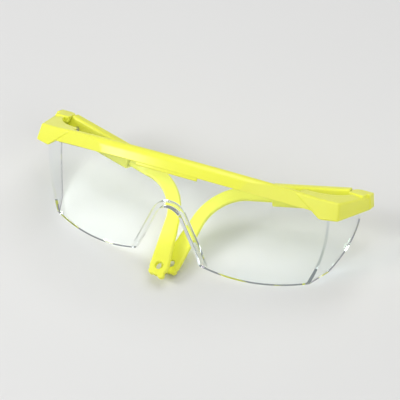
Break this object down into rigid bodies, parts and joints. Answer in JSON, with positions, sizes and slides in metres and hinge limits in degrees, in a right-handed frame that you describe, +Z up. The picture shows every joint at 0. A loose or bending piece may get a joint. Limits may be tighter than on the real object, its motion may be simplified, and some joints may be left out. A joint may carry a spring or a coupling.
{
  "type": "safety glasses",
  "caption": "Safety glasses with a clear wrap-round lens and side shields, a bright yellow brow bar, and folding temples that tilt and slide to length.",
  "frame": {"origin": "centre of the footprint of the folded glasses, on the floor they stand on", "axes": "+X across the front to the wearer's left, +Y from the lens towards the wearer, +Z up"},
  "size_m": [0.153, 0.061, 0.0564],
  "materials": {
    "frame_yellow": "gloss",
    "temple_yellow": "satin",
    "clear_lens": "polished",
    "pin_steel": "satin"
  },
  "bodies": {
    "front": {"brow_bar": "frame_yellow", "lens": "clear_lens", "hinge_pin_left": "pin_steel", "hinge_pin_right": "pin_steel"},
    "block_left": {"hinge_block_left": "frame_yellow"},
    "block_right": {"hinge_block_right": "frame_yellow"},
    "sleeve_left": {"temple_sleeve_left": "frame_yellow", "tilt_pivot_left": "pin_steel"},
    "sleeve_right": {"temple_sleeve_right": "frame_yellow", "tilt_pivot_right": "pin_steel"},
    "arm_left": {"temple_arm_left": "temple_yellow"},
    "arm_right": {"temple_arm_right": "temple_yellow"}
  },
  "joints": [
    {"name": "fold_left", "type": "hinge", "parent": "front", "child": "block_left", "pos_m": [-0.0714, 0.02569, 0.0249], "axis": [0.1822, 0.4901, 0.8524], "range_deg": [0, 94.5]},
    {"name": "tilt_left", "type": "hinge", "parent": "block_left", "child": "sleeve_left", "pos_m": [-0.06266, 0.02364, 0.02422], "axis": [-0.1572, -0.8412, 0.5173], "range_deg": [-5, 5]},
    {"name": "length_left", "type": "slide", "parent": "sleeve_left", "child": "arm_left", "axis": [0.9706, -0.2283, -0.0762], "range_m": [-0.002, 0.004]},
    {"name": "fold_right", "type": "hinge", "parent": "front", "child": "block_right", "pos_m": [0.0714, 0.02569, 0.0249], "axis": [0.1822, -0.4901, -0.8524], "range_deg": [0, 99.5]},
    {"name": "tilt_right", "type": "hinge", "parent": "block_right", "child": "sleeve_right", "pos_m": [0.06258, 0.02425, 0.02385], "axis": [-0.0789, 0.8568, -0.5096], "range_deg": [-5, 5]},
    {"name": "length_right", "type": "slide", "parent": "sleeve_right", "child": "arm_right", "axis": [-0.9801, -0.1601, -0.1175], "range_m": [0, 0.006]}
  ],
  "couplings": [
    {"joint": "fold_right", "follows": "fold_left", "ratio": 1.05},
    {"joint": "tilt_right", "follows": "tilt_left", "ratio": 1}
  ]
}
